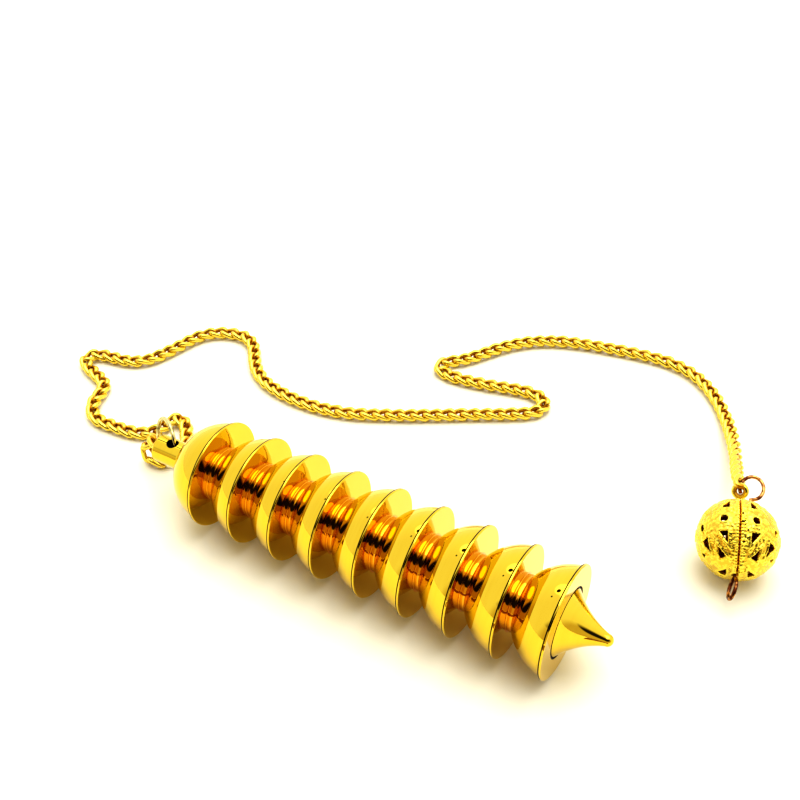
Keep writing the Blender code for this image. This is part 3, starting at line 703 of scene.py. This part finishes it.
def pin_points():
    """Stations of the pin's wire: closed eye near the table, straight shank, open eye for the chain."""
    points = []
    for i in range(EYE_STATIONS + 1):
        turn = LOWER_EYE_END + (LOWER_EYE_START - LOWER_EYE_END) * i / EYE_STATIONS
        along = EYE_RADIUS * LOWER_EYE_STRETCH * sin(turn) + EYE_RADIUS * (LOWER_EYE_STRETCH - 1)
        side = -EYE_RADIUS * LOWER_EYE_SQUEEZE * cos(turn)
        points.append(pin_middle - pin_axis * (LOWER_EYE_REACH + along) + lower_eye_side * side)
    points.append(pin_middle - pin_axis * (BALL_RADIUS + LOWER_EYE_CLEARANCE / 2))
    upper_half = EYE_RADIUS * UPPER_EYE_STRETCH
    points.append(pin_middle + pin_axis * (UPPER_EYE_REACH - upper_half * SHANK_END_BEFORE_EYE))
    for i in range(EYE_STATIONS + 1):
        points.append(upper_eye_point(UPPER_EYE_START + (UPPER_EYE_END - UPPER_EYE_START) * i / EYE_STATIONS))
    return points


# Chain

def smooth_route(route):
    """Fine points of a centripetal Catmull-Rom curve through the route's own points."""
    ends = [2 * route[0] - route[1]] + route + [2 * route[-1] - route[-2]]
    fine = []
    for i in range(1, len(ends) - 2):
        p = ends[i - 1:i + 3]
        knots = [0.0]
        for a, b in zip(p, p[1:]):
            knots.append(knots[-1] + sqrt((b - a).length))
        for step in range(ROUTE_FINENESS):
            t = knots[1] + (knots[2] - knots[1]) * step / ROUTE_FINENESS
            a = [p[k].lerp(p[k + 1], (t - knots[k]) / (knots[k + 1] - knots[k])) for k in range(3)]
            b = [a[k].lerp(a[k + 1], (t - knots[k]) / (knots[k + 2] - knots[k])) for k in range(2)]
            fine.append(b[0].lerp(b[1], (t - knots[1]) / (knots[2] - knots[1])))
    return fine + [route[-1]]


def walk(fine, pitch):
    """Joints a straight pitch apart along a fine curve, starting at its first point."""
    joints = [fine[0]]
    for a, b in zip(fine, fine[1:]):
        while (b - joints[-1]).length >= pitch:
            near, far = 0.0, 1.0
            for _ in range(30):
                middle = (near + far) / 2
                if (a.lerp(b, middle) - joints[-1]).length < pitch:
                    near = middle
                else:
                    far = middle
            joints.append(a.lerp(b, far))
    return joints


def chain_joints():
    """The points where links meet, with the pitch eased so that a whole number of links reaches the pin."""
    route = [Vector(point) for point in CHAIN_ROUTE]
    first = ring_hold + (route[0] - ring_hold).normalized() * END_LINK_RADIUS
    last = pin_hold + EYE_LINK_RISE * END_LINK_RADIUS
    route = [first] + route + [last]
    fine = smooth_route(route)
    count = len(walk(fine, LINK_PITCH))
    low, high = LINK_PITCH * LEAST_PITCH_SHARE, LINK_PITCH
    for _ in range(40):
        middle = (low + high) / 2
        if len(walk(fine, middle)) > count:
            low = middle
        else:
            high = middle
    return walk(fine, low)


def link_stations():
    """Centre points and frames of one curb link about its own middle: an oval twisted along its length."""
    half_width = (LINK_WIDTH - LINK_WIRE) / 2
    half_length = (LINK_PITCH + LINK_WIRE) / 2
    straight = half_length - half_width
    arc_length = pi * half_width
    loop = 2 * (2 * straight + arc_length)
    flat = []
    for i in range(LINK_STATIONS):
        s = loop * i / LINK_STATIONS
        if s < 2 * straight:
            flat.append((straight - s, half_width))
        elif s < 2 * straight + arc_length:
            turn = (s - 2 * straight) / half_width
            flat.append((-straight - half_width * sin(turn), half_width * cos(turn)))
        elif s < 4 * straight + arc_length:
            flat.append((s - 3 * straight - arc_length, -half_width))
        else:
            turn = (s - 4 * straight - arc_length) / half_width
            flat.append((straight + half_width * sin(turn), -half_width * cos(turn)))
    stations = []
    for x, y in flat:
        twist = LINK_TWIST * x / half_length
        stations.append(Vector((x, y * cos(twist), y * sin(twist))))
    return stations


def link_ring():
    """Points of one link's surface as an array of stations by sides by three."""
    stations = link_stations()
    count = len(stations)
    half_length = (LINK_PITCH + LINK_WIRE) / 2
    surface = np.zeros((count, LINK_SIDES, 3))
    for i, centre in enumerate(stations):
        tangent = (stations[(i + 1) % count] - stations[i - 1]).normalized()
        twist = LINK_TWIST * centre.x / half_length
        normal = Vector((0, -sin(twist), cos(twist)))
        normal = (normal - normal.project(tangent)).normalized()
        side = normal.cross(tangent)
        for j in range(LINK_SIDES):
            turn = 2 * pi * j / LINK_SIDES
            surface[i, j] = centre + (side * cos(turn) + normal * sin(turn)) * (LINK_WIRE / 2)
    return surface


def end_link_ring():
    """Points of a round end link about its own middle, facing its own Z."""
    surface = np.zeros((LINK_STATIONS, LINK_SIDES, 3))
    for i in range(LINK_STATIONS):
        turn = 2 * pi * i / LINK_STATIONS
        for j in range(LINK_SIDES):
            side = 2 * pi * j / LINK_SIDES
            reach = END_LINK_RADIUS + LINK_WIRE / 2 * cos(side)
            surface[i, j] = (reach * cos(turn), reach * sin(turn), LINK_WIRE / 2 * sin(side))
    return surface


def lit_outside_share(ring, middle_distance):
    """How far out from the link's own middle line each of its points lies; the inner side gets painted shade
    between the links.
    """
    if middle_distance:
        return np.clip(0.5 + (np.hypot(ring[..., 0], ring[..., 1]) - middle_distance) / LINK_WIRE, 0, 1)
    return np.clip((np.hypot(ring[..., 1], ring[..., 2]) - LIT_OUTSIDE_FROM) / LIT_OUTSIDE_OVER, 0, 1)


def curb_chain():
    """All the links as one mesh, each an own closed ring threaded through its neighbours."""
    joints = chain_joints()
    ring = link_ring()
    rolls = random.Random(4)
    points = []
    lit_outside = []
    half_width = LINK_WIDTH / 2
    half_height = (LINK_WIDTH - LINK_WIRE) / 2 * sin(LINK_TWIST) * LINK_HEIGHT_SHARE + LINK_WIRE / 2
    for a, b in zip(joints, joints[1:]):
        along = (b - a).normalized()
        level = Vector((0, 0, 1)).cross(along).normalized()
        upright = along.cross(level)
        centre = (a + b) / 2
        risen = min(max(centre.z - LYING_HEIGHT, 0) / RISING_ROLL_OVER, 1) * (centre.x > 0)
        roll = rolls.uniform(-1, 1) * LINK_ROLL + RISING_LINK_ROLL * risen
        across = level * cos(roll) + upright * sin(roll)
        facing = along.cross(across)
        if abs(along.z) < LYING_SLOPE and centre.z < LYING_HEIGHT:
            reach = hypot(half_width * across.z, half_height * facing.z)
            centre.z = reach + CHAIN_LIFT
        points.append(ring.reshape(-1, 3) @ np.array((along, across, facing)) + np.array(centre))
        lit_outside.append(lit_outside_share(ring, 0).ravel())
    round_link = end_link_ring()
    for held_at, held_along, toward in (
        (ring_hold, ring_hold_along, joints[0] - ring_hold), (pin_hold, pin_axis, joints[-1] - pin_hold),
    ):
        normal = (held_along - held_along.project(toward)).normalized()
        toward = toward.normalized()
        turn = np.array((toward, normal.cross(toward), normal))
        points.append(round_link.reshape(-1, 3) @ turn + np.array(held_at))
        lit_outside.append(lit_outside_share(round_link, END_LINK_RADIUS).ravel())
    stations, sides = ring.shape[:2]
    faces = []
    for link in range(len(points)):
        first = link * stations * sides
        for i in range(stations):
            near, far = first + i * sides, first + (i + 1) % stations * sides
            for j in range(sides):
                j2 = (j + 1) % sides
                faces.append((near + j, far + j, far + j2, near + j2))
    mesh = bpy.data.meshes.new("curb_chain")
    mesh.from_pydata(np.concatenate(points).tolist(), [], faces)
    mesh.attributes.new("lit_outside", "FLOAT", "POINT").data.foreach_set("value", np.concatenate(lit_outside))
    mesh.shade_smooth()
    return mesh


# Ball

def shell_direction(angle, turn):
    """The direction from the ball's middle at given degrees from the shell's crown and round it."""
    angle, turn = radians(angle), radians(turn)
    return np.array((cos(angle), sin(angle) * cos(turn), sin(angle) * sin(turn)))


def rounded_corners(angle, turn, sides, half_away, half_round):
    """Corners of an oval opening of a shell about a middle point."""
    middle = shell_direction(angle, turn)
    away = shell_direction(angle + 90, turn)
    side = np.cross(middle, away)
    corners = []
    for i in range(sides):
        step = 2 * pi * i / sides
        reach = away * cos(step) * radians(half_away) + side * sin(step) * radians(half_round)
        corners.append((middle + reach) / np.linalg.norm(middle + reach))
    return corners


def shell_openings():
    """Corner directions of every opening of one half shell."""
    openings = [rounded_corners(*CROWN_OPENING)]
    for i in range(REPEATS_ROUND_SHELL):
        start = FIRST_REPEAT + 360 * i / REPEATS_ROUND_SHELL
        for opening in CORNERED_OPENINGS:
            openings.append([shell_direction(angle, start + turn) for angle, turn in opening])
        for angle, turn, sides, half_away, half_round in ROUNDED_OPENINGS:
            openings.append(rounded_corners(angle, start + turn, sides, half_away, half_round))
    return openings


def edge_distance(directions, corners):
    """How far over the ball each direction lies outside an opening, its corners a little rounded."""
    middle = np.mean(corners, axis=0)
    total = 0.0
    for a, b in zip(corners, corners[1:] + corners[:1]):
        inward = np.cross(a, b)
        inward /= np.linalg.norm(inward) * np.sign(inward @ middle)
        total = total + np.exp(np.clip(-BALL_RADIUS * (directions @ inward) / OPENING_ROUND, -60, 60))
    return OPENING_ROUND * np.log(total)


def pin_distance(directions):
    """How far each place on the ball lies outside the pin's hole."""
    to_shell = shell_turn.inverted().to_3x3()
    axis = np.array(to_shell @ pin_axis)
    aside = np.array(to_shell @ (upper_eye_side * PIN_ASIDE))
    off = directions * BALL_RADIUS - aside
    off = off - np.outer(off @ axis, axis)
    return np.linalg.norm(off, axis=1) - PIN_WIRE / 2 - PIN_HOLE_CLEARANCE


def opening_distance(directions):
    """How far each place on the ball lies outside the nearest opening, negative inside one."""
    mirrored = directions * np.sign(directions[:, :1] + 1e-12)
    mirrored[:, 1:] = directions[:, 1:]
    distances = [pin_distance(directions)]
    distances += [edge_distance(mirrored, corners) for corners in shell_openings()]
    distances += [edge_distance(directions, rounded_corners(*gap)) for gap in SEAM_GAPS]
    return np.min(distances, axis=0)


def snapped_to_edges(directions):
    """Directions near an opening's edge or the seam moved onto it, so that both come out clean."""
    for _ in range(2):
        distance = opening_distance(directions)
        level = np.cross(directions, SNAP_GUIDE)
        level /= np.linalg.norm(level, axis=1)[:, None]
        other = np.cross(directions, level)
        slope = [
            (opening_distance(directions + way * SNAP_PROBE) - distance) / (SNAP_PROBE * BALL_RADIUS)
            for way in (level, other)
        ]
        size = np.maximum(slope[0]**2 + slope[1]**2, LEAST_SLOPE)
        near = (np.abs(distance) < EDGE_SNAP)[:, None]
        downhill = level * slope[0][:, None] + other * slope[1][:, None]
        move = downhill * (distance / size / BALL_RADIUS)[:, None]
        directions = np.where(near, directions - move, directions)
        directions /= np.linalg.norm(directions, axis=1)[:, None]
    on_seam = np.abs(directions[:, 0]) < EDGE_SNAP / BALL_RADIUS
    directions[on_seam, 0] = 0
    return directions / np.linalg.norm(directions, axis=1)[:, None]


def bump(distance, spread):
    """A smooth hump, 1 at no distance and nearly 0 past twice its spread."""
    return np.exp(-(distance / spread)**2)


def shell_relief(directions):
    """Height of the stamped relief: borders round the openings, grain, and the ribbed lips of the seam."""
    from_opening = opening_distance(directions)
    from_seam = np.abs(np.arcsin(np.clip(directions[:, 0], -1, 1))) * BALL_RADIUS
    turn = np.arctan2(directions[:, 2], directions[:, 1])
    border = bump(from_opening - BORDER_AT, BORDER_SPREAD)
    grains = np.array([
        noise.voronoi(Vector(place))[0][0] for place in directions * (BALL_RADIUS / GRAIN_PITCH)
    ])
    grain = np.clip(1 - (grains / GRAIN_REACH)**2, 0, 1)
    lip = bump(from_seam - SEAM_LIP_AT, SEAM_LIP_SPREAD)
    rib = np.cos(turn * SEAM_RIBS) * np.clip(1 - from_seam / SEAM_RIB_REACH, 0, 1)
    rib = rib * (from_seam > SEAM_GROOVE_SPREAD)
    from_boss = np.arccos(np.clip(directions @ shell_direction(*BOSS_PLACE), -1, 1)) * BALL_RADIUS
    kept_grain = (grain - 0.5) * (1 - GRAIN_LOST_ON_BORDER * border) * (1 - GRAIN_LOST_ON_LIP * lip)
    height = BORDER_RISE * border + GRAIN_RISE * kept_grain
    height += SEAM_LIP_RISE * lip + SEAM_RIB_RISE * rib
    height += BOSS_RISE * bump(from_boss - BOSS_RADIUS, BOSS_RIM_SPREAD)
    height -= BOSS_RISE / 2 * bump(from_boss, BOSS_HOLLOW_SPREAD)
    return height - SEAM_GROOVE_DEPTH * bump(from_seam, SEAM_GROOVE_SPREAD)


def pierced_ball():
    """Both half shells as one hollow wall: stamped outside, plain inside, with its openings' cut edges."""
    bm = bmesh.new()
    bmesh.ops.create_icosphere(bm, subdivisions=BALL_FINENESS, radius=1.0)
    directions = np.array([vert.co for vert in bm.verts])
    faces = np.array([[vert.index for vert in face.verts] for face in bm.faces])
    bm.free()
    directions = snapped_to_edges(directions / np.linalg.norm(directions, axis=1)[:, None])
    middles = directions[faces].mean(axis=1)
    faces = faces[opening_distance(middles / np.linalg.norm(middles, axis=1)[:, None]) > 0]
    height = shell_relief(directions)
    outer = directions * (BALL_RADIUS + height)[:, None]
    inner = directions * (BALL_RADIUS - BALL_WALL)
    count = len(directions)
    sides = np.concatenate([faces[:, [0, 1]], faces[:, [1, 2]], faces[:, [2, 0]]])
    known = {tuple(side) for side in sides.tolist()}
    rims = [(a, b) for a, b in known if (b, a) not in known]
    all_faces = faces.tolist() + (faces[:, ::-1] + count).tolist()
    all_faces += [(b, a, a + count, b + count) for a, b in rims]
    mesh = bpy.data.meshes.new("pierced_ball")
    mesh.from_pydata(np.concatenate([outer, inner]).tolist(), [], all_faces)
    relief = mesh.attributes.new("relief", "FLOAT", "POINT")
    shares = np.clip(0.5 + height / RELIEF_RANGE, 0, 1)
    # The inner wall is marked -1, for the painted shade inside the ball
    relief.data.foreach_set("value", np.concatenate([shares, np.full(count, -1.0)]))
    bm = bmesh.new()
    bm.from_mesh(mesh)
    bmesh.ops.delete(bm, geom=[vert for vert in bm.verts if not vert.link_faces], context="VERTS")
    bm.to_mesh(mesh)
    bm.free()
    mesh.transform(Matrix.Translation(BALL_CENTRE) @ shell_turn)
    mesh.shade_smooth()
    mesh.set_sharp_from_angle(angle=BALL_SHARP_ANGLE)
    return mesh


# Studio

def laid_over(tree, ray, height, under, azimuth, elevation, edge, foot, top, brightness, tint):
    """A soft-edged part of the room laid over the brightness of what is behind it."""
    azimuth, elevation = radians(azimuth), radians(elevation)
    direction = (cos(azimuth) * cos(elevation), sin(azimuth) * cos(elevation), sin(elevation))
    facing = vector_node(tree, "DOT_PRODUCT", ray, direction)
    share = 1.0
    for value, (start, end) in ((facing, edge), (height, foot), (height, top)):
        step = add_node(
            tree, "ShaderNodeMapRange", {"Value": value, "From Min": start, "From Max": end},
            interpolation_type="SMOOTHSTEP",
        ).outputs["Result"]
        share = math_node(tree, "MULTIPLY", share, step)
    light = (*[brightness * channel for channel in linear(tint)[:3]], 1.0)
    return blend(tree, share, under, light)


def white_room():
    """A white room: a wide ceiling light behind the pendulum, the photographer's dark side in front."""
    world = bpy.data.worlds.new("white_room")
    world.use_nodes = True
    tree = world.node_tree
    ray = add_node(tree, "ShaderNodeTexCoord").outputs["Generated"]
    height = add_node(tree, "ShaderNodeSeparateXYZ", {"Vector": ray}).outputs["Z"]
    walls = (SIDE_WALL, SIDE_WALL, SIDE_WALL, 1.0)
    for part in ROOM:
        walls = laid_over(tree, ray, height, walls, *part)
    seen = add_node(tree, "ShaderNodeLightPath").outputs["Is Camera Ray"]
    shown = blend(tree, seen, walls, (1.0, 1.0, 1.0, 1.0))
    tree.links.new(shown, tree.nodes["Background"].inputs["Color"])
    bpy.context.scene.world = world


def pale_table():
    """A plain matt white board under everything."""
    bpy.ops.mesh.primitive_plane_add(size=TABLE_SIZE, location=(0, 0, -TABLE_DROP))
    table = bpy.context.object
    table.name = "pale_table"
    material = bpy.data.materials.new("matt_white_board")
    material.use_nodes = True
    surface = material.node_tree.nodes["Principled BSDF"]
    surface.inputs["Base Color"].default_value = linear("#F8F4E1")
    surface.inputs["Roughness"].default_value = 0.9
    table.data.materials.append(material)


def reflection_card():
    """A low brown card bent round the front right, seen only in the polish: the room's dim side."""
    bm = bmesh.new()
    rows = []
    for i in range(CARD_STEPS + 1):
        turn = radians(CARD_START + (CARD_END - CARD_START) * i / CARD_STEPS)
        foot = Vector((cos(turn), sin(turn), 0)) * CARD_RADIUS
        rows.append((bm.verts.new(foot), bm.verts.new(foot + Vector((0, 0, CARD_HEIGHT)))))
    for a, b in zip(rows, rows[1:]):
        bm.faces.new((a[0], b[0], b[1], a[1]))
    mesh = bpy.data.meshes.new("reflection_card")
    bm.to_mesh(mesh)
    bm.free()
    material = bpy.data.materials.new("dim_brown_card")
    material.use_nodes = True
    surface = material.node_tree.nodes["Principled BSDF"]
    surface.inputs["Base Color"].default_value = (0, 0, 0, 1)
    surface.inputs["Emission Color"].default_value = linear(CARD_COLOR)
    surface.inputs["Emission Strength"].default_value = 1.0
    mesh.materials.append(material)
    card = bpy.data.objects.new("reflection_card", mesh)
    bpy.context.scene.collection.objects.link(card)
    card.location = MOVE
    card.visible_camera = False
    card.visible_diffuse = False
    card.visible_shadow = False


def add_camera():
    """The photo's camera, fitted to the equal discs."""
    back = Vector((
        sin(CAMERA_AZIMUTH) * cos(CAMERA_ELEVATION),
        -cos(CAMERA_AZIMUTH) * cos(CAMERA_ELEVATION),
        sin(CAMERA_ELEVATION),
    ))
    right = Vector((cos(CAMERA_AZIMUTH), sin(CAMERA_AZIMUTH), 0))
    data = bpy.data.cameras.new("photo_camera")
    data.lens = CAMERA_LENS
    data.sensor_width = CAMERA_SENSOR
    data.clip_start = 0.01
    camera = bpy.data.objects.new("photo_camera", data)
    turn = Matrix((right, back.cross(right), back)).transposed().to_4x4()
    camera.matrix_world = Matrix.Translation(CAMERA_PLACE + MOVE) @ turn
    bpy.context.scene.collection.objects.link(camera)
    bpy.context.scene.camera = camera


add_camera()
white_room()
pale_table()
reflection_card()
bpy.context.scene.view_settings.view_transform = "Standard"
bpy.context.scene.view_settings.look = "High Contrast"
bpy.context.scene.cycles.glossy_bounces = 10

body = drill_through_knob(turned_body())
ring = wire_curve("jump_ring", ring_points(), RING_WIRE)
pin = wire_curve("eye_pin", pin_points(), PIN_WIRE)
finished_piece("turned_body", body, polished_gold_plate(), "polished_gold", "pendulum_body")
finished_piece("jump_ring", ring, bare_brass_wire(), "brassy_wire", "cap_ring")
finished_piece("curb_chain", curb_chain(), chain_gold_plate(), "chain_gold", "chain")
finished_piece("pierced_ball", pierced_ball(), stamped_gold_plate(), "ball_gold", "filigree_ball")
finished_piece("eye_pin", pin, copper_wire(), "copper_wire", "ball_pin")
